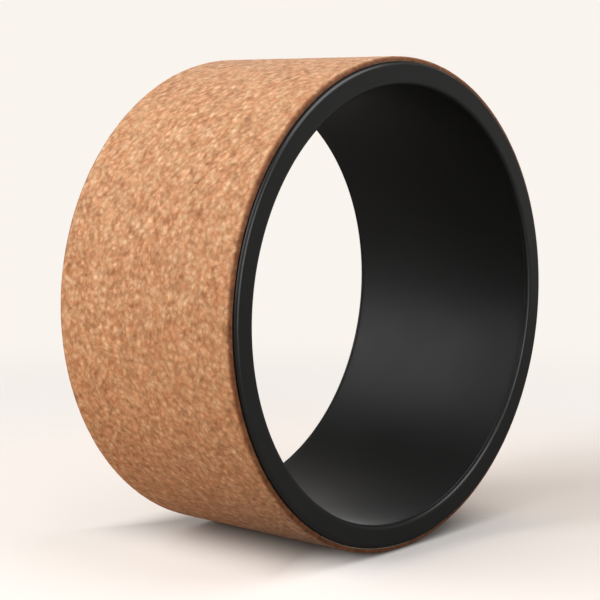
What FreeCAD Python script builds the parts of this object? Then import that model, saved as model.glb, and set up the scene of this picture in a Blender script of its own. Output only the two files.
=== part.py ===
import FreeCAD, Part
import math
import os
import Sketcher

# A yoga wheel: a rigid hoop that stands on its tread, padded with foam and covered with cork.
# A smooth inner drum and a ribbed outer drum make the double wall. A rim ring closes each end: its tongue plugs
# into the cavity between the drums, and its flange covers their ends and the edge of the foam. The cork reaches a
# little past the drums, round the outside of the flange.
# The wheel's axis is Y, its origin is its centre, +Z is up, and the near rim in the photograph faces -Y.
# Lengths are millimetres and angles are degrees.

FULL_TURN = 360
HALF_TURN = 180
MM3_IN_CM3 = 1000
SAME_PLACE = 0.0001
# The most that a fillet takes of the wall that it rounds.
FILLET_SHARE = 0.9

DIMENSIONS = (
    ("bore_diameter", 283.0),
    ("drum_length", 148.0),
    ("inner_drum_wall", 3.0),
    ("inner_drum_edge_fillet", 0.8),
    ("cavity_depth", 5.5),
    ("outer_drum_wall", 3.0),
    ("rib_count", 24),
    ("rib_thickness", 2.0),
    ("rib_clearance", 0.1),
    ("rib_end_clearance", 0.5),
    ("film_thickness", 0.2),
    ("foam_thickness", 3.6),
    ("cork_thickness", 3.0),
    ("cork_edge_fillet", 2.4),
    ("cork_overhang", 0.4),
    ("padding_edge_clearance", 0.3),
    ("padding_seam_gap", 0.3),
    ("flange_thickness", 3.0),
    ("flange_gap_to_cork", 0.8),
    ("flange_step_from_bore", 0.3),
    ("rim_edge_fillet", 2.6),
    ("joint_gap_width", 0.4),
    ("joint_gap_depth", 1.6),
    ("tongue_depth", 8.0),
    ("tongue_clearance", 0.1),
)


class Size:
    """A length as a number, with the expression that ties it to the sheet."""

    def __init__(self, value, text):
        self.value = value
        self.text = text

    def __add__(self, other):
        return Size(self.value + other.value, f"({self.text} + {other.text})")

    def __sub__(self, other):
        return Size(self.value - other.value, f"({self.text} - {other.text})")

    def __neg__(self):
        return Size(-self.value, f"(-{self.text})")

    def half(self):
        return Size(self.value / 2, f"({self.text} / 2)")

    def times(self, number):
        return Size(self.value * number, f"({self.text} * {number})")

    def at_most(self, other):
        return Size(min(self.value, other.value), f"min({self.text}; {other.text})")


SIZES = {name: Size(value, f"dims.{name}") for name, value in DIMENSIONS}

# Radii of the layers, from the bore outwards.
BORE_RADIUS = SIZES["bore_diameter"].half()
INNER_DRUM_RADIUS = BORE_RADIUS + SIZES["inner_drum_wall"]
CAVITY_RADIUS = INNER_DRUM_RADIUS + SIZES["cavity_depth"]
OUTER_DRUM_RADIUS = CAVITY_RADIUS + SIZES["outer_drum_wall"]
FOAM_INNER_RADIUS = OUTER_DRUM_RADIUS + SIZES["film_thickness"]
FOAM_RADIUS = FOAM_INNER_RADIUS + SIZES["foam_thickness"]
CORK_INNER_RADIUS = FOAM_RADIUS + SIZES["film_thickness"]
TREAD_RADIUS = CORK_INNER_RADIUS + SIZES["cork_thickness"]

# Ends of the layers, from the middle of the width.
DRUM_END = SIZES["drum_length"].half()
PADDING_END = DRUM_END - SIZES["padding_edge_clearance"]
CORK_END = DRUM_END + SIZES["cork_overhang"]


def make_sheet(doc):
    """The driving dimensions, one to a row: the name, and the value under that name as its alias."""
    sheet = doc.addObject("Spreadsheet::Sheet", "dims")
    for row, (name, value) in enumerate(DIMENSIONS, start=1):
        sheet.set(f"A{row}", name)
        sheet.set(f"B{row}", str(value))
        sheet.setAlias(f"B{row}", name)
    doc.recompute()


def make_body(doc, label):
    body = doc.addObject("PartDesign::Body", label)
    body.Label = label
    return body


def origin_feature(body, role):
    """The body's own origin plane or axis with this role, such as XY_Plane or Y_Axis."""
    return next(feature for feature in body.Origin.OriginFeatures if feature.Role == role)


def hold_from_origin(sketch, kind, line, size):
    """Holds a line's start at a signed distance from the sketch's origin."""
    origin = (-1, 1)
    start = (line, 1)
    ends = origin + start
    distance = size
    if size.value < 0:
        ends = start + origin
        distance = -size
    index = sketch.addConstraint(Sketcher.Constraint(kind, *ends, distance.value))
    sketch.setExpression(f"Constraints[{index}]", distance.text)


def stepped_outline(body, name, plane, steps):
    """A closed sketch outline of edges that run across and up in turn.

    Each step is (height, reach): an edge at that height runs across to that reach, and an edge at that reach then
    runs up or down to the next step's height.
    """
    sketch = body.newObject("Sketcher::SketchObject", name)
    sketch.AttachmentSupport = [(origin_feature(body, plane), "")]
    sketch.MapMode = "FlatFace"
    corners = []
    for i, (height, reach) in enumerate(steps):
        last_reach = steps[i - 1][1]
        corners.append(FreeCAD.Vector(last_reach.value, height.value, 0))
        corners.append(FreeCAD.Vector(reach.value, height.value, 0))
    count = len(corners)
    for i in range(count):
        sketch.addGeometry(Part.LineSegment(corners[i], corners[(i + 1) % count]))
    for i in range(count):
        sketch.addConstraint(Sketcher.Constraint("Coincident", i, 2, (i + 1) % count, 1))
    for i, (height, reach) in enumerate(steps):
        across = 2 * i
        along = across + 1
        sketch.addConstraint(Sketcher.Constraint("Horizontal", across))
        sketch.addConstraint(Sketcher.Constraint("Vertical", along))
        hold_from_origin(sketch, "DistanceY", across, height)
        hold_from_origin(sketch, "DistanceX", along, reach)
    return sketch


def revolve(body, name, steps):
    """A ring about the wheel's axis. Each step of its section is (place across the width, radius)."""
    sketch = stepped_outline(body, name + "_section", "XY_Plane", steps)
    ring = body.newObject("PartDesign::Revolution", name)
    ring.Profile = sketch
    ring.ReferenceAxis = (sketch, ["V_Axis"])
    ring.Angle = FULL_TURN
    return ring


def tube_section(inner, outer, end):
    """Section of a plain tube or strip that reaches as far to both sides of the middle."""
    return [(-end, outer), (end, inner)]


def revolve_strip(body, name, inner, outer, end):
    """A layer of the padding, wrapped round the drum. All the layers meet at one butt seam on the +X side."""
    strip = revolve(body, name, tube_section(inner, outer, end))
    seam_angle = f"{SIZES['padding_seam_gap'].text} / {TREAD_RADIUS.text} * {HALF_TURN} / pi"
    strip.setExpression("Angle", f"{FULL_TURN} - {seam_angle}")
    return strip


def round_edges(doc, body, name, feature, wanted, radius):
    """Rounds the feature's circular edges for which wanted(edge radius, place across the width) is true."""
    doc.recompute()
    names = []
    for number, edge in enumerate(feature.Shape.Edges, start=1):
        if isinstance(edge.Curve, Part.Circle) and wanted(edge.Curve.Radius, edge.Curve.Center.y):
            names.append(f"Edge{number}")
    fillet = body.newObject("PartDesign::Fillet", name)
    fillet.Base = (feature, names)
    fillet.setExpression("Radius", radius.text)
    return fillet


def same(a, b):
    return math.isclose(a, b, abs_tol=SAME_PLACE)


def make_inner_drum(doc):
    """The seamless inside wall, with its two inner edges eased."""
    body = make_body(doc, "inner_drum")
    tube = revolve(body, "inner_tube", tube_section(BORE_RADIUS, INNER_DRUM_RADIUS, DRUM_END))
    round_edges(
        doc,
        body,
        "inner_tube_edges",
        tube,
        lambda radius, place: same(radius, BORE_RADIUS.value),
        SIZES["inner_drum_edge_fillet"].at_most(SIZES["inner_drum_wall"].times(FILLET_SHARE)),
    )
    return body


def make_outer_drum(doc):
    """The outer wall, with straight ribs inside that reach to the inner drum and stop short of the tongues."""
    body = make_body(doc, "outer_drum")
    revolve(body, "outer_tube", tube_section(CAVITY_RADIUS, OUTER_DRUM_RADIUS, DRUM_END))
    rib_inner = INNER_DRUM_RADIUS + SIZES["rib_clearance"]
    rib_root = CAVITY_RADIUS + SIZES["outer_drum_wall"].half()
    half_thickness = SIZES["rib_thickness"].half()
    rib_section = [(-half_thickness, rib_root), (half_thickness, rib_inner)]
    sketch = stepped_outline(body, "rib_section", "XZ_Plane", rib_section)
    rib = body.newObject("PartDesign::Pad", "rib")
    rib.Profile = sketch
    rib.SideType = "Symmetric"
    rib_length = SIZES["drum_length"] - (SIZES["tongue_depth"] + SIZES["rib_end_clearance"]).times(2)
    rib.setExpression("Length", rib_length.text)
    doc.recompute()
    ribs = body.newObject("PartDesign::PolarPattern", "ribs")
    ribs.Originals = [rib]
    ribs.Axis = (origin_feature(body, "Y_Axis"), [""])
    ribs.Angle = FULL_TURN
    ribs.setExpression("Occurrences", SIZES["rib_count"].text)
    body.Tip = ribs
    return body


def make_strip(doc, label, inner, outer):
    """A plain strip of foam or bonding film between two radii."""
    body = make_body(doc, label)
    revolve_strip(body, label + "_strip", inner, outer, PADDING_END)
    return body


def make_cork_cover(doc):
    """The cork strip: its two outer edges are rounded, and it stands proud of the rim rings all round."""
    body = make_body(doc, "cork_cover")
    strip = revolve_strip(body, "cork_strip", CORK_INNER_RADIUS, TREAD_RADIUS, CORK_END)
    round_edges(
        doc,
        body,
        "cork_edges",
        strip,
        lambda radius, place: same(radius, TREAD_RADIUS.value),
        SIZES["cork_edge_fillet"].at_most(SIZES["cork_thickness"].times(FILLET_SHARE)),
    )
    return body


def make_rim_ring(doc, label, turn):
    """A rim ring at the +Y end, then turned about Z to its own end.

    Its face is flat, with broad rounds at the outer and inner edges. A narrow gap is left where its inner edge
    meets the inner drum, which shows as a dark line.
    """
    body = make_body(doc, label)
    tongue_inner = INNER_DRUM_RADIUS + SIZES["tongue_clearance"]
    tongue_outer = CAVITY_RADIUS - SIZES["tongue_clearance"]
    tongue_end = DRUM_END - SIZES["tongue_depth"]
    flange_outer = CORK_INNER_RADIUS - SIZES["flange_gap_to_cork"]
    flange_inner = BORE_RADIUS + SIZES["flange_step_from_bore"]
    face = DRUM_END + SIZES["flange_thickness"]
    gap_side = DRUM_END + SIZES["joint_gap_width"]
    gap_floor = BORE_RADIUS + SIZES["joint_gap_depth"]
    section = [
        (tongue_end, tongue_outer),
        (DRUM_END, flange_outer),
        (face, flange_inner),
        (gap_side, gap_floor),
        (DRUM_END, tongue_inner),
    ]
    ring = revolve(body, label + "_ring", section)
    rounded = round_edges(
        doc,
        body,
        label + "_outer_edge",
        ring,
        lambda radius, place: same(place, face.value) and same(radius, flange_outer.value),
        SIZES["rim_edge_fillet"].at_most(SIZES["flange_thickness"].times(FILLET_SHARE)),
    )
    round_edges(
        doc,
        body,
        label + "_inner_edge",
        rounded,
        lambda radius, place: same(place, face.value) and same(radius, flange_inner.value),
        SIZES["rim_edge_fillet"].at_most((face - gap_side).times(FILLET_SHARE)),
    )
    body.Placement = FreeCAD.Placement(FreeCAD.Vector(), FreeCAD.Rotation(FreeCAD.Vector(0, 0, 1), turn))
    return body


def check(doc, bodies):
    """Stops if any object failed, or if a piece is not one valid solid."""
    for item in doc.Objects:
        if "Invalid" in item.State or "Error" in item.State:
            raise RuntimeError(f"{item.Label} failed: {item.State}")
    for body in bodies:
        shape = body.Shape
        if shape.isNull() or not shape.isValid() or len(shape.Solids) != 1:
            raise RuntimeError(f"{body.Label} is not one valid solid")


def main():
    doc = FreeCAD.newDocument("yoga_wheel")
    make_sheet(doc)
    bodies = [
        make_inner_drum(doc),
        make_outer_drum(doc),
        make_strip(doc, "foam_adhesive_film", OUTER_DRUM_RADIUS, FOAM_INNER_RADIUS),
        make_strip(doc, "foam_cushion", FOAM_INNER_RADIUS, FOAM_RADIUS),
        make_strip(doc, "cork_adhesive_film", FOAM_RADIUS, CORK_INNER_RADIUS),
        make_cork_cover(doc),
        make_rim_ring(doc, "rear_rim_ring", 0),
        make_rim_ring(doc, "front_rim_ring", HALF_TURN),
    ]
    doc.recompute()
    check(doc, bodies)
    os.makedirs("parts", exist_ok=True)
    for body in bodies:
        body.Shape.exportStep(f"parts/{body.Label}.step")
        box = body.Shape.optimalBoundingBox()
        print(f"{body.Label}: {box.XLength:.2f} x {box.YLength:.2f} x {box.ZLength:.2f} mm, "
              f"{body.Shape.Volume / MM3_IN_CM3:.2f} cm3")


main()
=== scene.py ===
"""Looks of a cork-covered yoga wheel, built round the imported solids.

The wheel's axis is Y, its middle is the origin and +Z is up. The wheel's own sizes are millimetres until
its meshes are made. Everything else is metres, and a texture's scale is cells per metre.
"""
import math

import bpy
import numpy as np
from mathutils import Matrix, Vector


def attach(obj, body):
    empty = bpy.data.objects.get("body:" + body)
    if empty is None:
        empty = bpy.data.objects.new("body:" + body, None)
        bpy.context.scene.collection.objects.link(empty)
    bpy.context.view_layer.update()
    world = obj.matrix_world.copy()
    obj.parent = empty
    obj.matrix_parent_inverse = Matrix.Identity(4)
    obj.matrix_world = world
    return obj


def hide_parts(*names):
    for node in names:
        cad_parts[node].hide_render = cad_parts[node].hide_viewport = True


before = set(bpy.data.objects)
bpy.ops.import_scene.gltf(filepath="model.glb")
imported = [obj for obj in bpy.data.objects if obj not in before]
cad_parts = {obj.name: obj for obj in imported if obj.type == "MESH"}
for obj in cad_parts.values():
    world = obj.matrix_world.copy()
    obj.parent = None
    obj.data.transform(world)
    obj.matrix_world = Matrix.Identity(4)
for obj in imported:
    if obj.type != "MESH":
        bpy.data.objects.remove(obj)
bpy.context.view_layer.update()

MM = 0.001
FULL_TURN = 2 * math.pi
BODY = "root"


def solid_size(name):
    """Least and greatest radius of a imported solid, then its least and greatest distance along Y."""
    points = np.array([vertex.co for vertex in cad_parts[name].data.vertices]) / MM
    radius = np.hypot(points[:, 0], points[:, 2])
    away = np.abs(points[:, 1])
    return [round(float(value), 2) for value in (radius.min(), radius.max(), away.min(), away.max())]


# Sizes measured on the solids
BORE_RADIUS, DRUM_OUTER_RADIUS, _, DRUM_HALF_LENGTH = solid_size("inner_drum")
_, OUTER_DRUM_RADIUS, _, _ = solid_size("outer_drum")
FOAM_INNER_RADIUS, FOAM_OUTER_RADIUS, _, FOAM_HALF_WIDTH = solid_size("foam_cushion")
CORK_INNER_RADIUS, CORK_OUTER_RADIUS, _, CORK_HALF_WIDTH = solid_size("cork_cover")
RIM_BORE_RADIUS, RIM_OUTER_RADIUS, TONGUE_END, RIM_FACE = solid_size("front_rim_ring")

# Sizes that the solids were drawn with
DRUM_EDGE_FILLET = 0.8
OUTER_DRUM_WALL = 3.0
CORK_EDGE_FILLET = 2.4
SEAM_GAP = 0.3
RIM_OUTER_FILLET = 2.6
FILLET_SHARE = 0.9
JOINT_GAP_WIDTH = 0.4
JOINT_GAP_DEPTH = 1.6
TONGUE_CLEARANCE = 0.1

# Sizes that follow from them
RIM_BACK = DRUM_HALF_LENGTH
JOINT_GAP_Y = RIM_BACK + JOINT_GAP_WIDTH
JOINT_GAP_RADIUS = BORE_RADIUS + JOINT_GAP_DEPTH
RIM_INNER_FILLET = FILLET_SHARE * (RIM_FACE - JOINT_GAP_Y)
TONGUE_INNER_RADIUS = DRUM_OUTER_RADIUS + TONGUE_CLEARANCE
TONGUE_OUTER_RADIUS = OUTER_DRUM_RADIUS - OUTER_DRUM_WALL - TONGUE_CLEARANCE

# How finely the meshes are cut
RING_STEPS = 360
RIM_FILLET_STEPS = 14
RIM_LONGEST_STEP = 1.6
DRUM_FILLET_STEPS = 6
DRUM_LONGEST_STEP = 4.0
CORK_STEPS = 640
CORK_STEPS_ACROSS = 104
CORK_BACK_POINTS = 7
SOFT_FILLET_STEPS = 8
SMALL_FILLET_STEPS = 3
FOAM_STEPS = 288
FOAM_INNER_FILLET_STEPS = 2
FOAM_LONGEST_STEP = 3.5
SHARP_ANGLE = math.radians(32)


def rounded_loop(corners):
    """Points round a closed outline of (radius, y, fillet, steps) corners, each corner cut to an arc."""
    points = []
    count = len(corners)
    for index, (radius, y, fillet, steps) in enumerate(corners):
        here = np.array([radius, y])
        if fillet == 0:
            points.append(here)
            continue
        before = np.array(corners[index - 1][:2]) - here
        after = np.array(corners[(index + 1) % count][:2]) - here
        before = before / np.linalg.norm(before)
        after = after / np.linalg.norm(after)
        half = math.acos(float(np.clip(before @ after, -1, 1))) / 2
        middle = (before + after) / np.linalg.norm(before + after)
        centre = here + middle * fillet / math.sin(half)
        start = here + before * fillet / math.tan(half) - centre
        end = here + after * fillet / math.tan(half) - centre
        turn = math.acos(float(np.clip(start @ end / fillet ** 2, -1, 1)))
        for step in range(steps + 1):
            share = step / steps
            arm = (math.sin((1 - share) * turn) * start + math.sin(share * turn) * end) / math.sin(turn)
            points.append(centre + arm)
    return np.array(points)


def divided(points, longest):
    """The closed outline with every run longer than this cut into equal steps."""
    out = []
    for here, after in zip(points, np.roll(points, -1, axis=0)):
        steps = max(1, math.ceil(np.linalg.norm(after - here) / longest))
        for step in range(steps):
            out.append(here + (after - here) * step / steps)
    return np.array(out)


def outward(loop):
    """The outline ordered so that a sweep of it has its faces outward."""
    radius, y = loop[:, 0], loop[:, 1]
    area = np.sum(radius * np.roll(y, -1) - np.roll(radius, -1) * y)
    return loop if area > 0 else loop[::-1]


def sweep(name, sections, angles, closed):
    """A mesh through one outline per angle round Y. Each section is a row of (radius, y) points."""
    steps, count = sections.shape[:2]
    turn = angles[:, None]
    radius, y = sections[..., 0], sections[..., 1]
    points = np.stack([radius * np.cos(turn), y, radius * np.sin(turn)], axis=-1) * MM
    rows = np.arange(steps if closed else steps - 1)
    columns = np.arange(count)
    row, column = np.meshgrid(rows, columns, indexing="ij")
    next_row = (row + 1) % steps
    next_column = (column + 1) % count
    quads = np.stack([
        row * count + column,
        next_row * count + column,
        next_row * count + next_column,
        row * count + next_column,
    ], axis=-1).reshape(-1, 4)
    faces = quads.tolist()
    if not closed:
        faces.append(list(range(count)))
        faces.append(list(range(steps * count - 1, (steps - 1) * count - 1, -1)))
    mesh = bpy.data.meshes.new(name)
    mesh.from_pydata(points.reshape(-1, 3).tolist(), [], faces)
    mesh.validate()
    mesh.shade_smooth()
    mesh.set_sharp_from_angle(angle=SHARP_ANGLE)
    piece = bpy.data.objects.new(name, mesh)
    bpy.context.scene.collection.objects.link(piece)
    return piece


def lathe(name, loop):
    """A full ring with this outline."""
    angles = np.arange(RING_STEPS) * FULL_TURN / RING_STEPS
    sections = np.repeat(outward(loop)[None], RING_STEPS, axis=0)
    return sweep(name, sections, angles, True)


def strip_angles(steps, radius):
    """Angles round a strip that is open at its butt seam on the +X side."""
    half_gap = SEAM_GAP / 2 / radius
    return np.linspace(half_gap, FULL_TURN - half_gap, steps)


def dress(piece, material, slot, *nodes):
    """The piece rides on the wheel in place of these solids, in this material."""
    piece.data.materials.clear()
    piece.data.materials.append(material)
    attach(piece, BODY)
    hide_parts(*nodes)


class Nodes:
    """Makes and joins the nodes of one tree."""

    def __init__(self, tree):
        self.tree = tree
        tree.nodes.clear()

    def make(self, kind, inputs=None, **settings):
        node = self.tree.nodes.new("ShaderNode" + kind)
        for name, value in settings.items():
            setattr(node, name, value)
        for name, value in (inputs or {}).items():
            self.join(value, node, name)
        return node

    def join(self, value, node, name):
        if isinstance(value, bpy.types.NodeSocket):
            self.tree.links.new(value, node.inputs[name])
        else:
            node.inputs[name].default_value = value

    def math(self, operation, first, second=0.0, clamp=False):
        node = self.make("Math", {0: first, 1: second}, operation=operation, use_clamp=clamp)
        return node.outputs[0]

    def total(self, *values):
        out = values[0]
        for value in values[1:]:
            out = self.math("ADD", out, value)
        return out

    def times(self, first, second):
        return self.math("MULTIPLY", first, second)

    def about_half(self, value, weight):
        """How far the value is from a half, times the weight."""
        return self.times(self.math("SUBTRACT", value, 0.5), weight)

    def vector_math(self, operation, first, second):
        return self.make("VectorMath", {0: first, 1: second}, operation=operation).outputs[0]

    def dot(self, first, second):
        return self.make("VectorMath", {0: first, 1: second}, operation="DOT_PRODUCT").outputs["Value"]

    def length(self, vector):
        return self.make("VectorMath", {0: vector}, operation="LENGTH").outputs["Value"]

    def axes(self, vector):
        return self.make("SeparateXYZ", {"Vector": vector}).outputs

    def channel(self, colour, index):
        return self.make("SeparateColor", {"Color": colour}).outputs[index]

    def object_place(self):
        return self.make("TexCoord").outputs["Object"]

    def noise(self, vector, scale, detail=2.0, roughness=0.5, distortion=0.0):
        inputs = {"Vector": vector, "Scale": scale, "Detail": detail, "Roughness": roughness}
        inputs["Distortion"] = distortion
        return self.make("TexNoise", inputs).outputs

    def cells(self, vector, scale):
        return self.make("TexVoronoi", {"Vector": vector, "Scale": scale}).outputs

    def spread(self, value, low, high, to_low=0.0, to_high=1.0):
        """The value taken from low..high to another range, smoothly and without overshoot."""
        inputs = {"Value": value, "From Min": low, "From Max": high, "To Min": to_low, "To Max": to_high}
        return self.make("MapRange", inputs, interpolation_type="SMOOTHSTEP", clamp=True).outputs[0]

    def blend(self, share, first, second, kind="MIX"):
        node = self.make("Mix", data_type="RGBA", blend_type=kind)
        for name, value in ((0, share), (6, first), (7, second)):
            self.join(value, node, name)
        return node.outputs[2]

    def tinted(self, colour, tint):
        return self.blend(1.0, colour, tint, "MULTIPLY")

    def ramp(self, value, stops):
        node = self.make("ValToRGB", {"Fac": value})
        marks = node.color_ramp.elements
        while len(marks) < len(stops):
            marks.new(0.5)
        for mark, (place, colour) in zip(marks, stops):
            mark.position = place
            mark.color = colour
        return node.outputs["Color"]

    def bump(self, height, distance, strength):
        inputs = {"Height": height, "Distance": distance, "Strength": strength}
        return self.make("Bump", inputs).outputs["Normal"]


class Shader(Nodes):
    """A material with one Principled surface."""

    def __init__(self, name, **values):
        self.material = bpy.data.materials.new(name)
        self.material.use_nodes = True
        super().__init__(self.material.node_tree)
        self.output = self.make("OutputMaterial")
        self.surface = self.make("BsdfPrincipled")
        self.join(self.surface.outputs["BSDF"], self.output, "Surface")
        self.set(**values)

    def set(self, **values):
        """Sets or links inputs of the surface, named with _ for each space."""
        for name, value in values.items():
            self.join(value, self.surface, name.replace("_", " "))


# Cork

CORK_SEED = 20
GRANULE_PITCH = 4.2
GRANULE_RISE = 0.10
GRANULE_EDGE_WIDTH = 0.22 * GRANULE_PITCH
GRANULE_EDGE_DIP = 0.06
GRANULE_EDGE_DULLING = 0.6
GRANULE_MARGIN = 4
SHEET_WAVE = 0.08
WAVE_COUNT = 14
WAVE_SHORTEST = 25
WAVE_LONGEST = 90
CORK_BODY_DEPTH = 0.4

# A range is the pair of values between which a part comes in.
WARP = {"scale": 230}
WARP_REACH = (0.004, 0.004, 0.004)
FLECK = {"Scale": 265, "Smoothness": 0.35}
DOME_RANGE = (0.05, 0.75)
PATCH_SCALE = 60
STREAK = {"scale": 350, "detail": 1.5}
STREAK_STRETCH = (1.0, 0.45, 1.0)
MOTTLE = {"scale": 235, "detail": 1.5}
FINE = {"scale": 1500, "roughness": 0.6}
BROAD = {"scale": 18}
SPECK_SCALE = 130
SPECK_PICK_RANGE = (0.6, 1.0)
SPECK_LARGEST = 0.12
SPECK_BLUR = 0.06
SPECK_STRENGTH = 0.6
SPECK_COLOUR = (0.17, 0.06, 0.026, 1)
HUE = {"scale": 210, "detail": 1}
HUE_RANGE = (0.35, 0.65)
CORK_RED_TINT = (1.02, 0.965, 0.93, 1)
CORK_STRAW_TINT = (0.975, 1.07, 1.13, 1)
CORK_ROUGH_RANGE = (0.2, 0.9)
CORK_ROUGH_ENDS = (0.82, 0.64)
CORK_BUMP = {"distance": 0.0004, "strength": 0.65}
# Painted shade: the strip is drawn darker and browner at its rounded edges beside the rims, between these
# distances from its side.
CORK_PAINTED_SHADE_DISTANCES = (2.7, 0.2)
CORK_PAINTED_SHADE_RANGE = tuple((CORK_HALF_WIDTH - distance) * MM for distance in CORK_PAINTED_SHADE_DISTANCES)
CORK_EDGE_PAINTED_SHADE = (0.34, 0.22, 0.12, 1)
CORK_COLOURS = (
    (0.0, (0.25, 0.098, 0.037, 1)),
    (0.3, (0.40, 0.182, 0.078, 1)),
    (0.55, (0.51, 0.260, 0.126, 1)),
    (0.8, (0.62, 0.358, 0.196, 1)),
    (1.0, (0.74, 0.48, 0.30, 1)),
)
CORK_TONE_WEIGHTS = (
    ("fleck", 0.25),
    ("streak", 0.8),
    ("mottle", 0.75),
    ("dome", 0.3),
    ("fine", 0.1),
    ("broad", 0.12),
    ("lump", 0.1),
)
CORK_HEIGHT_WEIGHTS = (
    ("dome", 0.7),
    ("streak", 0.9),
    ("mottle", 0.6),
    ("fine", 0.15),
    ("speck", -0.8),
)


def granules(along, across, rng):
    """Tone from 0 to 1 and nearness to a granule's edge, at points of the unrolled sheet."""
    columns = int(along.max() / GRANULE_PITCH) + GRANULE_MARGIN
    rows = int((across.max() - across.min()) / GRANULE_PITCH) + GRANULE_MARGIN
    shift = rng.random((columns, rows, 2))
    tone = rng.random((columns, rows))
    low = across.min()
    column = np.floor(along / GRANULE_PITCH).astype(int) + 1
    row = np.floor((across - low) / GRANULE_PITCH).astype(int) + 1
    nearest = np.full(along.shape, np.inf)
    second = np.full(along.shape, np.inf)
    found = np.zeros(along.shape)
    for step_along in (-1, 0, 1):
        for step_across in (-1, 0, 1):
            near_column = np.clip(column + step_along, 0, columns - 1)
            near_row = np.clip(row + step_across, 0, rows - 1)
            seed_along = (near_column - 1 + shift[near_column, near_row, 0]) * GRANULE_PITCH
            seed_across = low + (near_row - 1 + shift[near_column, near_row, 1]) * GRANULE_PITCH
            away = np.hypot(along - seed_along, across - seed_across)
            closer = away < nearest
            second = np.where(closer, nearest, np.minimum(second, away))
            found = np.where(closer, tone[near_column, near_row], found)
            nearest = np.where(closer, away, nearest)
    edge = np.exp(-(((second - nearest) / GRANULE_EDGE_WIDTH) ** 2))
    return found, edge


def waves(along, across, rng):
    """A slow unevenness from -1 to 1 over the sheet."""
    total = np.zeros(along.shape)
    for _ in range(WAVE_COUNT):
        length = rng.uniform(WAVE_SHORTEST, WAVE_LONGEST)
        heading = rng.uniform(0, FULL_TURN)
        phase = rng.uniform(0, FULL_TURN)
        distance = along * math.cos(heading) + across * math.sin(heading)
        total += np.sin(distance * FULL_TURN / length + phase)
    return np.clip(total / math.sqrt(WAVE_COUNT * 2), -1, 1)


def cork_loop():
    """Outline of the cork strip, finely cut across its outer face."""
    corners = [
        (CORK_OUTER_RADIUS, -CORK_HALF_WIDTH, CORK_EDGE_FILLET, SOFT_FILLET_STEPS),
        (CORK_OUTER_RADIUS, CORK_HALF_WIDTH, CORK_EDGE_FILLET, SOFT_FILLET_STEPS),
        (CORK_INNER_RADIUS, CORK_HALF_WIDTH, 0, 0),
        (CORK_INNER_RADIUS, -CORK_HALF_WIDTH, 0, 0),
    ]
    rounds = rounded_loop(corners)[:-2]
    half = len(rounds) // 2
    flat = CORK_HALF_WIDTH - CORK_EDGE_FILLET
    outer = np.linspace(-flat, flat, CORK_STEPS_ACROSS + 1)[1:-1]
    inner = np.linspace(CORK_HALF_WIDTH, -CORK_HALF_WIDTH, CORK_BACK_POINTS)
    face = np.stack([np.full(outer.shape, CORK_OUTER_RADIUS), outer], axis=1)
    back = np.stack([np.full(inner.shape, CORK_INNER_RADIUS), inner], axis=1)
    return outward(np.concatenate([rounds[:half], face, rounds[half:], back]))


def make_cork_cover():
    """The cork strip with its granular face."""
    loop = cork_loop()
    angles = strip_angles(CORK_STEPS, CORK_OUTER_RADIUS)
    sections = np.repeat(loop[None], CORK_STEPS, axis=0)
    rng = np.random.default_rng(CORK_SEED)
    along = np.repeat(angles[:, None] * CORK_OUTER_RADIUS, len(loop), axis=1)
    across = sections[..., 1]
    tone, edge = granules(along, across, rng)
    slow = waves(along, across, rng)
    dip = GRANULE_RISE * (1 - tone) + GRANULE_EDGE_DIP * edge + SHEET_WAVE * (0.5 + 0.5 * slow)
    rise = sections[..., 0] - CORK_INNER_RADIUS
    height = np.clip(rise / (CORK_OUTER_RADIUS - CORK_INNER_RADIUS), 0, 1)
    sections[..., 0] -= np.where(rise > CORK_BODY_DEPTH, dip * height, 0)
    piece = sweep("cork_cover_strip", sections, angles, False)
    sheet = piece.data.attributes.new("sheet", "FLOAT_VECTOR", "POINT")
    places = np.stack([along, across, sections[..., 0]], axis=-1) * MM
    sheet.data.foreach_set("vector", places.astype(np.float32).ravel())
    lump = piece.data.attributes.new("lump", "FLOAT", "POINT")
    lump_tone = tone * (1 - GRANULE_EDGE_DULLING * edge)
    lump.data.foreach_set("value", lump_tone.astype(np.float32).ravel())
    return piece


def cork_parts(shader, sheet):
    """The textures that make up the cork, by name, at these places of the unrolled sheet."""
    warp = shader.vector_math("SUBTRACT", shader.noise(sheet, **WARP)["Color"], (0.5, 0.5, 0.5))
    place = shader.vector_math("ADD", sheet, shader.vector_math("MULTIPLY", warp, WARP_REACH))
    fleck = shader.make("TexVoronoi", {"Vector": place, **FLECK}, feature="SMOOTH_F1").outputs
    patch_turn = shader.channel(shader.cells(sheet, PATCH_SCALE)["Color"], 1)
    turning = {"Vector": sheet, "Angle": shader.times(patch_turn, FULL_TURN / 2)}
    turned = shader.make("VectorRotate", turning, rotation_type="Z_AXIS").outputs[0]
    speck = shader.cells(place, SPECK_SCALE)
    speck_pick = shader.channel(speck["Color"], 2)
    speck_size = shader.spread(speck_pick, *SPECK_PICK_RANGE, 0.0, SPECK_LARGEST)
    speck_depth = shader.math("SUBTRACT", speck_size, speck["Distance"])
    return {
        "fleck": shader.channel(fleck["Color"], 0),
        "dome": shader.spread(fleck["Distance"], *DOME_RANGE, 1.0, 0.0),
        "streak": shader.noise(shader.vector_math("MULTIPLY", turned, STREAK_STRETCH), **STREAK)["Fac"],
        "mottle": shader.noise(place, **MOTTLE)["Fac"],
        "fine": shader.noise(sheet, **FINE)["Fac"],
        "broad": shader.noise(sheet, **BROAD)["Fac"],
        "lump": shader.make("Attribute", attribute_name="lump").outputs["Fac"],
        "speck": shader.spread(speck_depth, 0.0, SPECK_BLUR),
    }


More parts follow.
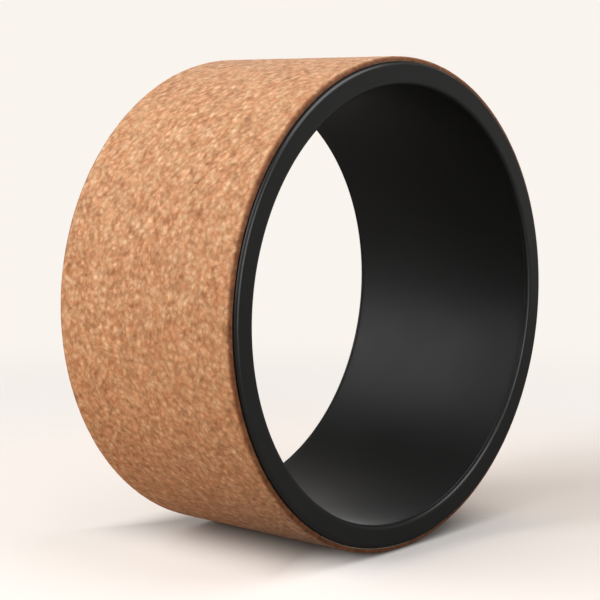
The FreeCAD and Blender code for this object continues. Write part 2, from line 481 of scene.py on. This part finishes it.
def cork_material():
    """Pressed cork: pale flecks that lie every way in a browner ground, with a few small dark pores, and
    painted shade at its rounded edges.
    """
    shader = Shader("cork", Specular_IOR_Level=0.4, Sheen_Weight=0.08, Sheen_Roughness=0.5)
    sheet = shader.make("Attribute", attribute_name="sheet").outputs["Vector"]
    parts = cork_parts(shader, sheet)
    tone = shader.total(*(shader.about_half(parts[part], weight) for part, weight in CORK_TONE_WEIGHTS))
    tone = shader.math("ADD", tone, 0.5, clamp=True)
    hue = shader.spread(shader.noise(sheet, **HUE)["Fac"], *HUE_RANGE)
    colour = shader.ramp(tone, CORK_COLOURS)
    colour = shader.tinted(colour, shader.blend(hue, CORK_RED_TINT, CORK_STRAW_TINT))
    colour = shader.blend(shader.times(parts["speck"], SPECK_STRENGTH), colour, SPECK_COLOUR)
    # Painted shade: the strip's rounded edges beside the rims are drawn darker and browner.
    across = shader.math("ABSOLUTE", shader.axes(sheet)["Y"])
    edge = shader.spread(across, *CORK_PAINTED_SHADE_RANGE)
    colour = shader.blend(edge, colour, shader.tinted(colour, CORK_EDGE_PAINTED_SHADE))
    height = shader.total(*(shader.times(parts[part], weight) for part, weight in CORK_HEIGHT_WEIGHTS))
    shader.set(
        Base_Color=colour,
        Roughness=shader.spread(tone, *CORK_ROUGH_RANGE, *CORK_ROUGH_ENDS),
        Normal=shader.bump(height, **CORK_BUMP),
    )
    return shader.material


# Rim rings and drum

JOINT_EDGE_FILLET = 0.2
RIM_BACK_FILLET = 0.3
TONGUE_FILLET = 0.3

RIM_LOOK = {
    "tint": (0.0062, 0.0061, 0.0059, 1),
    "roughness": 0.39,
    "turned": 0.06,
    "gloss": 0.46,
    "sheen": 0.0,
}
DRUM_LOOK = {
    "tint": (0.0032, 0.0031, 0.0030, 1),
    "roughness": 0.465,
    "turned": 0.05,
    "gloss": 0.315,
    "sheen": 0.33,
}
SHEEN_ROUGHNESS = 0.3
# The sheen comes in between these heights, so that only the lower part of the wall is paler. Placing the
# sheen by height stands in for the light that falls on the lower wall; the plastic itself is the same all
# round.
SHEEN_RANGE = (0.09, -0.01)
GRAIN = {"scale": 3200, "detail": 3, "roughness": 0.6}
GRAIN_BUMP = {"distance": 0.00002, "strength": 0.6}
GRAIN_ROUGHNESS = 0.1
CLOUD = {"scale": 22, "detail": 3, "roughness": 0.55}
CLOUD_ROUGHNESS = 0.12
TURNED_LINES = {"scale": 900, "roughness": 0.6}
SMUDGE_RANGE = (0.3, 0.75)
SMUDGE_STRENGTH = 0.3
SMUDGE_PALER = 2.0


def rim_loop(side):
    """Outline of a rim ring: a flat face with broad rounds at its edges, and a tongue between the drums."""
    corners = [
        (RIM_BORE_RADIUS, JOINT_GAP_Y, JOINT_EDGE_FILLET, SMALL_FILLET_STEPS),
        (RIM_BORE_RADIUS, RIM_FACE, RIM_INNER_FILLET, RIM_FILLET_STEPS),
        (RIM_OUTER_RADIUS, RIM_FACE, RIM_OUTER_FILLET, RIM_FILLET_STEPS),
        (RIM_OUTER_RADIUS, RIM_BACK, RIM_BACK_FILLET, SMALL_FILLET_STEPS),
        (TONGUE_OUTER_RADIUS, RIM_BACK, 0, 0),
        (TONGUE_OUTER_RADIUS, TONGUE_END, TONGUE_FILLET, SMALL_FILLET_STEPS),
        (TONGUE_INNER_RADIUS, TONGUE_END, TONGUE_FILLET, SMALL_FILLET_STEPS),
        (TONGUE_INNER_RADIUS, RIM_BACK, 0, 0),
        (JOINT_GAP_RADIUS, RIM_BACK, 0, 0),
        (JOINT_GAP_RADIUS, JOINT_GAP_Y, 0, 0),
    ]
    return divided(rounded_loop(corners), RIM_LONGEST_STEP) * np.array([1, side])


def drum_loop():
    """Outline of the inner drum's wall."""
    places = [
        (BORE_RADIUS, -DRUM_HALF_LENGTH),
        (BORE_RADIUS, DRUM_HALF_LENGTH),
        (DRUM_OUTER_RADIUS, DRUM_HALF_LENGTH),
        (DRUM_OUTER_RADIUS, -DRUM_HALF_LENGTH),
    ]
    corners = [place + (DRUM_EDGE_FILLET, DRUM_FILLET_STEPS) for place in places]
    return divided(rounded_loop(corners), DRUM_LONGEST_STEP)


def plastic_material(name, tint, roughness, turned, gloss, sheen):
    """Satin black moulded plastic: fine mould grain, faint turned lines and slow changes of sheen."""
    shader = Shader(name, Specular_IOR_Level=gloss, Sheen_Weight=sheen, Sheen_Roughness=SHEEN_ROUGHNESS)
    place = shader.object_place()
    axes = shader.axes(place)
    radius = shader.length(shader.make("CombineXYZ", {"X": axes["X"], "Z": axes["Z"]}).outputs[0])
    ring_place = shader.make("CombineXYZ", {"X": radius, "Y": axes["Y"]}).outputs[0]
    grain = shader.noise(place, **GRAIN)["Fac"]
    cloud = shader.noise(place, **CLOUD)["Fac"]
    lines = shader.noise(ring_place, **TURNED_LINES)["Fac"]
    smudge = shader.times(shader.spread(cloud, *SMUDGE_RANGE), SMUDGE_STRENGTH)
    pale = tuple(SMUDGE_PALER * part for part in tint[:3]) + (1,)
    uneven = ((cloud, CLOUD_ROUGHNESS), (lines, turned), (grain, GRAIN_ROUGHNESS))
    shader.set(
        Base_Color=shader.blend(smudge, tint, pale),
        Roughness=shader.total(roughness, *(shader.about_half(part, weight) for part, weight in uneven)),
        Normal=shader.bump(grain, **GRAIN_BUMP),
    )
    # A sheen on the lower wall only, which stands in for the light that falls there.
    if sheen:
        shader.set(Sheen_Weight=shader.spread(axes["Z"], *SHEEN_RANGE, 0.0, sheen))
    return shader.material


# Foam and hidden layers

FOAM_EDGE_FILLET = 1.5
FOAM_INNER_FILLET = 1.0
FOAM_UNEVENNESS = 0.1
FOAM_CELL_SCALE = 1600
FOAM_CELL_WEIGHT = 0.6
FOAM_SKIN = {"scale": 60, "detail": 3}
FOAM_SKIN_WEIGHT = 0.5
FOAM_BUMP = {"distance": 0.0002, "strength": 0.7}
FOAM_COLOURS = ((0.1, (0.018, 0.018, 0.019, 1)), (0.8, (0.05, 0.05, 0.052, 1)))
FILM_SMEAR = {"scale": 90, "detail": 4, "roughness": 0.65, "distortion": 0.6}
FILM_ROUGH_RANGE = (0.3, 0.7)
FILM_ROUGH_ENDS = (0.35, 0.65)
FILM_BUMP = {"distance": 0.0001, "strength": 0.5}
FILM_COLOURS = ((0.25, (0.42, 0.37, 0.27, 1)), (0.75, (0.60, 0.55, 0.43, 1)))


def make_foam():
    """The foam strip under the cork, with softly rounded edges and an uneven skin."""
    corners = [
        (FOAM_OUTER_RADIUS, -FOAM_HALF_WIDTH, FOAM_EDGE_FILLET, SOFT_FILLET_STEPS),
        (FOAM_OUTER_RADIUS, FOAM_HALF_WIDTH, FOAM_EDGE_FILLET, SOFT_FILLET_STEPS),
        (FOAM_INNER_RADIUS, FOAM_HALF_WIDTH, FOAM_INNER_FILLET, FOAM_INNER_FILLET_STEPS),
        (FOAM_INNER_RADIUS, -FOAM_HALF_WIDTH, FOAM_INNER_FILLET, FOAM_INNER_FILLET_STEPS),
    ]
    loop = outward(divided(rounded_loop(corners), FOAM_LONGEST_STEP))
    angles = strip_angles(FOAM_STEPS, FOAM_OUTER_RADIUS)
    sections = np.repeat(loop[None], FOAM_STEPS, axis=0)
    rng = np.random.default_rng(CORK_SEED + 1)
    along = np.repeat(angles[:, None] * FOAM_OUTER_RADIUS, len(loop), axis=1)
    slow = waves(along, sections[..., 1], rng)
    outer_half = sections[..., 0] > (FOAM_INNER_RADIUS + FOAM_OUTER_RADIUS) / 2
    sections[..., 0] -= np.where(outer_half, FOAM_UNEVENNESS + FOAM_UNEVENNESS * slow, 0)
    return sweep("foam_cushion_strip", sections, angles, False)


def foam_material():
    """Dark closed-cell foam."""
    shader = Shader("foam", Roughness=0.95, Specular_IOR_Level=0.2)
    place = shader.object_place()
    cell = shader.cells(place, FOAM_CELL_SCALE)["Distance"]
    skin = shader.noise(place, **FOAM_SKIN)["Fac"]
    tone = shader.total(shader.times(cell, FOAM_CELL_WEIGHT), shader.times(skin, FOAM_SKIN_WEIGHT))
    shader.set(Base_Color=shader.ramp(tone, FOAM_COLOURS), Normal=shader.bump(cell, **FOAM_BUMP))
    return shader.material


def film_material():
    """Dried bonding film with smears."""
    shader = Shader("bonding_film", Specular_IOR_Level=0.4)
    smear = shader.noise(shader.object_place(), **FILM_SMEAR)["Fac"]
    shader.set(
        Base_Color=shader.ramp(smear, FILM_COLOURS),
        Roughness=shader.spread(smear, *FILM_ROUGH_RANGE, *FILM_ROUGH_ENDS),
        Normal=shader.bump(smear, **FILM_BUMP),
    )
    return shader.material


# Camera

VIEW_AZIMUTH = math.radians(-48.41)
VIEW_ELEVATION = math.radians(6.57)
VIEW_DISTANCE = 1.1439
VIEW_ACROSS = -0.00956
VIEW_UP = -0.00131
LENS = 101.97
SENSOR = 36.0


def view_axes():
    """Directions to the camera's right, to its top, and from the wheel to the camera."""
    right = Vector((math.cos(VIEW_AZIMUTH), math.sin(VIEW_AZIMUTH), 0))
    back = Vector((
        math.sin(VIEW_AZIMUTH) * math.cos(VIEW_ELEVATION),
        -math.cos(VIEW_AZIMUTH) * math.cos(VIEW_ELEVATION),
        math.sin(VIEW_ELEVATION),
    ))
    return right, back.cross(right), back


def behind():
    """The level direction from the wheel away from the camera."""
    _, _, back = view_axes()
    return -Vector((back.x, back.y, 0)).normalized()


def make_camera():
    right, up, back = view_axes()
    data = bpy.data.cameras.new("photo_view")
    data.lens = LENS
    data.sensor_width = SENSOR
    camera = bpy.data.objects.new("photo_view", data)
    turn = Matrix((right, up, back)).transposed()
    place = right * VIEW_ACROSS + up * VIEW_UP + back * VIEW_DISTANCE
    camera.matrix_world = Matrix.Translation(place) @ turn.to_4x4()
    bpy.context.scene.collection.objects.link(camera)
    bpy.context.scene.camera = camera


# Floor and backdrop

FLOOR_HEIGHT = -CORK_OUTER_RADIUS * MM
FLOOR_RINGS = (0.05, 0.1, 0.16, 0.24, 0.35, 0.5, 0.8, 1.2, 2.0, 3.5, 9.0)
FLOOR_SPOKES = 96
FLOOR_COLOUR = (0.92, 0.885, 0.855, 1)
FLOOR_MOTTLE_COLOUR = (0.87, 0.835, 0.805, 1)
FLOOR_MOTTLE = {"scale": 3.0, "detail": 3}
FLOOR_MOTTLE_STRENGTH = 0.1
PAPER = {"scale": 700}
PAPER_BUMP = {"distance": 0.00005, "strength": 0.3}
# The floor that lights the wheel has other colours than the one that the camera sees: warm on the camera's
# left, and dim past these places. Reflections see a third colour.
FLOOR_BOUNCE_COLOUR = (0.56, 0.35, 0.175, 1)
FLOOR_DIM_COLOUR = (0.09, 0.078, 0.066, 1)
FLOOR_DIM_START = -0.14
FLOOR_DIM_END = 0.02
FLOOR_GLOSS_COLOUR = (0.178, 0.171, 0.164, 1)
# The floor is shaded as if it leaned to the camera's left and towards it by these slopes.
FLOOR_LEAN = 0.66
FLOOR_LEAN_FORWARD = 0.3
# The floor glows a little by itself, and fades into the backdrop between these distances from the
# wheel's middle.
FLOOR_GLOW = 0.30
FLOOR_GLOW_COLOUR = (0.95, 0.78, 0.66, 1)
FLOOR_FADE_NEAR = 0.3
FLOOR_FADE_FAR = 1.0
FLOOR_TINT_FAR = 0.6
# A shadow is painted on the floor along the line that the wheel stands on: the floor is drawn darker there
# and its glow is cut. Each row has, in X and then in Y, the middle of the dark strip and the distances from
# it where the floor starts to clear and is clear.
GLOW_CONTACT = (0.02, 0.045, 0.14, 0.0, 0.08, 0.12)
SHADE_CONTACT = (-0.01, 0.025, 0.11, 0.03, 0.055, 0.095)
PAINTED_CONTACT_SHADOW = (0.40, 0.37, 0.35, 1)
BACKDROP_COLOUR = (0.955, 0.905, 0.855, 1)
AMBIENT_COLOUR = (1.0, 0.95, 0.89, 1)
AMBIENT_STRENGTH = 0.035
# A lit wall behind the wheel, which the camera doesn't see. It comes in between these distances on the
# floor, and between these cosines from the level direction behind the wheel.
LIT_WALL_STRENGTH = 0.6
LIT_WALL_NEAR = 0.35
LIT_WALL_FAR = 1.0
LIT_WALL_EDGE = 0.55
LIT_WALL_CORE = 0.9


def clear_of_painted_shadow(shader, place, middle, near, far, end_middle, end_near, end_far):
    """0 on the strip of floor under the wheel where the shadow is painted, rising to 1 away from it."""
    axes = shader.axes(place)
    sideways = shader.math("ABSOLUTE", shader.math("SUBTRACT", axes["X"], middle))
    lengthways = shader.math("ABSOLUTE", shader.math("SUBTRACT", axes["Y"], end_middle))
    beside = shader.spread(sideways, near, far)
    beyond = shader.spread(lengthways, end_near, end_far)
    return shader.math("MAXIMUM", beside, beyond)


def floor_mesh():
    """A disc cut into rings and spokes."""
    points = [(0, 0, FLOOR_HEIGHT)]
    for ring in FLOOR_RINGS:
        for spoke in range(FLOOR_SPOKES):
            turn = FULL_TURN * spoke / FLOOR_SPOKES
            points.append((ring * math.cos(turn), ring * math.sin(turn), FLOOR_HEIGHT))
    faces = []
    for spoke in range(FLOOR_SPOKES):
        faces.append((0, 1 + spoke, 1 + (spoke + 1) % FLOOR_SPOKES))
    for ring in range(len(FLOOR_RINGS) - 1):
        near = 1 + ring * FLOOR_SPOKES
        far = near + FLOOR_SPOKES
        for spoke in range(FLOOR_SPOKES):
            after = (spoke + 1) % FLOOR_SPOKES
            faces.append((near + spoke, far + spoke, far + after, near + after))
    mesh = bpy.data.meshes.new("studio_floor")
    mesh.from_pydata(points, [], faces)
    return mesh


def floor_material():
    """Pale paper that keeps the wheel's shadow, carries a painted shadow along the line the wheel stands
    on, and fades into the backdrop.
    """
    shader = Shader("studio_floor", Roughness=0.7, Specular_IOR_Level=0.2)
    place = shader.object_place()
    path = shader.make("LightPath").outputs
    right, _, _ = view_axes()
    up = Vector((0, 0, 1))

    mottle = shader.times(shader.noise(place, **FLOOR_MOTTLE)["Fac"], FLOOR_MOTTLE_STRENGTH)
    pale = shader.blend(mottle, FLOOR_COLOUR, FLOOR_MOTTLE_COLOUR)
    # Painted shadow: the floor that the camera sees is drawn darker under the wheel.
    clear = clear_of_painted_shadow(shader, place, *SHADE_CONTACT)
    pale = shader.blend(clear, shader.tinted(pale, PAINTED_CONTACT_SHADOW), pale)
    dim = shader.spread(shader.dot(place, right), FLOOR_DIM_START, FLOOR_DIM_END)
    bounce = shader.blend(dim, FLOOR_BOUNCE_COLOUR, FLOOR_DIM_COLOUR)
    unseen = shader.blend(path["Is Glossy Ray"], bounce, FLOOR_GLOSS_COLOUR)
    paper = shader.bump(shader.noise(place, **PAPER)["Fac"], **PAPER_BUMP)
    lean = up - right * FLOOR_LEAN - behind() * FLOOR_LEAN_FORWARD
    shader.set(
        Base_Color=shader.blend(path["Is Camera Ray"], unseen, pale),
        Normal=shader.vector_math("ADD", paper, lean.normalized() - up),
    )

    away = shader.length(place)
    fade = shader.spread(away, FLOOR_FADE_NEAR, FLOOR_FADE_FAR)
    tint_fade = shader.spread(away, FLOOR_FADE_NEAR, FLOOR_TINT_FAR)
    glow = shader.make("Emission", {"Color": shader.blend(tint_fade, FLOOR_GLOW_COLOUR, BACKDROP_COLOUR)})
    # The glow is cut under the wheel, which deepens the painted shadow there.
    near_share = shader.times(clear_of_painted_shadow(shader, place, *GLOW_CONTACT), FLOOR_GLOW)
    share = shader.total(shader.times(fade, 1 - FLOOR_GLOW), near_share)
    share = shader.times(share, path["Is Camera Ray"])
    glowing = shader.make("MixShader", {0: share, 1: shader.surface.outputs[0], 2: glow.outputs[0]})

    lit = shader.make("Emission", {"Color": BACKDROP_COLOUR, "Strength": LIT_WALL_STRENGTH})
    lit_share = shader.spread(shader.dot(place, behind()), LIT_WALL_NEAR, LIT_WALL_FAR)
    lit_share = shader.times(lit_share, path["Is Glossy Ray"])
    surface = shader.make("MixShader", {0: lit_share, 1: glowing.outputs[0], 2: lit.outputs[0]})
    shader.join(surface.outputs[0], shader.output, "Surface")
    return shader.material


def make_floor():
    mesh = floor_mesh()
    mesh.materials.append(floor_material())
    floor = bpy.data.objects.new("studio_floor", mesh)
    bpy.context.scene.collection.objects.link(floor)


def make_world():
    """A pale backdrop for the camera, a low even light from all round, and a lit wall behind the wheel."""
    world = bpy.data.worlds.new("studio")
    bpy.context.scene.world = world
    world.use_nodes = True
    nodes = Nodes(world.node_tree)
    direction = nodes.make("TexCoord").outputs["Generated"]
    wall = nodes.spread(nodes.dot(direction, behind()), LIT_WALL_EDGE, LIT_WALL_CORE)
    ambient = nodes.make("Background", {"Color": AMBIENT_COLOUR, "Strength": AMBIENT_STRENGTH})
    lit_wall = nodes.make("Background", {"Color": BACKDROP_COLOUR, "Strength": LIT_WALL_STRENGTH})
    backdrop = nodes.make("Background", {"Color": BACKDROP_COLOUR})
    unseen = nodes.make("MixShader", {0: wall, 1: ambient.outputs[0], 2: lit_wall.outputs[0]})
    seen = nodes.make("LightPath").outputs["Is Camera Ray"]
    mixed = nodes.make("MixShader", {0: seen, 1: unseen.outputs[0], 2: backdrop.outputs[0]})
    nodes.make("OutputWorld", {"Surface": mixed.outputs[0]})


# Lamps

LAMP_DISTANCE = 1.5
# Name, azimuth and elevation in degrees, size and power.
LAMPS = (
    ("key", -72.0, 31.0, 1.4, 18.6),
    ("fill", -46.0, 26.0, 1.1, 7.4),
    ("top", 71.4, 65.0, 1.2, 20.0),
    ("front", 31.0, 12.0, 0.8, 10.5),
    ("side", 97.0, 12.0, 1.0, 0.94),
)


def make_lamp(name, azimuth, elevation, size, power):
    """A square soft box that faces the wheel. Azimuth 0 is on the camera's side, and turns to its right."""
    right, _, _ = view_axes()
    turn = math.radians(azimuth)
    rise = math.radians(elevation)
    level = right * math.sin(turn) - behind() * math.cos(turn)
    place = (level * math.cos(rise) + Vector((0, 0, math.sin(rise)))) * LAMP_DISTANCE
    data = bpy.data.lights.new(name, "AREA")
    data.shape = "SQUARE"
    data.size = size
    data.energy = power
    lamp = bpy.data.objects.new(name, data)
    lamp.location = place
    lamp.rotation_mode = "QUATERNION"
    lamp.rotation_quaternion = place.to_track_quat("Z", "Y")
    bpy.context.scene.collection.objects.link(lamp)


def main():
    rim_black = plastic_material("rim_plastic", **RIM_LOOK)
    drum_black = plastic_material("drum_plastic", **DRUM_LOOK)
    dress(make_cork_cover(), cork_material(), "cork", "cork_cover")
    dress(lathe("front_rim_round_ring", rim_loop(-1)), rim_black, "rim_plastic", "front_rim_ring")
    dress(lathe("rear_rim_round_ring", rim_loop(1)), rim_black, "rim_plastic", "rear_rim_ring")
    dress(lathe("inner_drum_wall", drum_loop()), drum_black, "drum_plastic", "inner_drum")
    foam = make_foam()
    dress(foam, foam_material(), "foam", "foam_cushion")
    film = film_material()
    hidden = {"outer_drum": drum_black, "foam_adhesive_film": film, "cork_adhesive_film": film}
    for name, material in hidden.items():
        for material_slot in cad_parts[name].material_slots:
            material_slot.material = material
    make_floor()
    make_world()
    make_camera()
    for lamp in LAMPS:
        make_lamp(*lamp)
    bpy.context.scene.view_settings.view_transform = "Standard"


main()
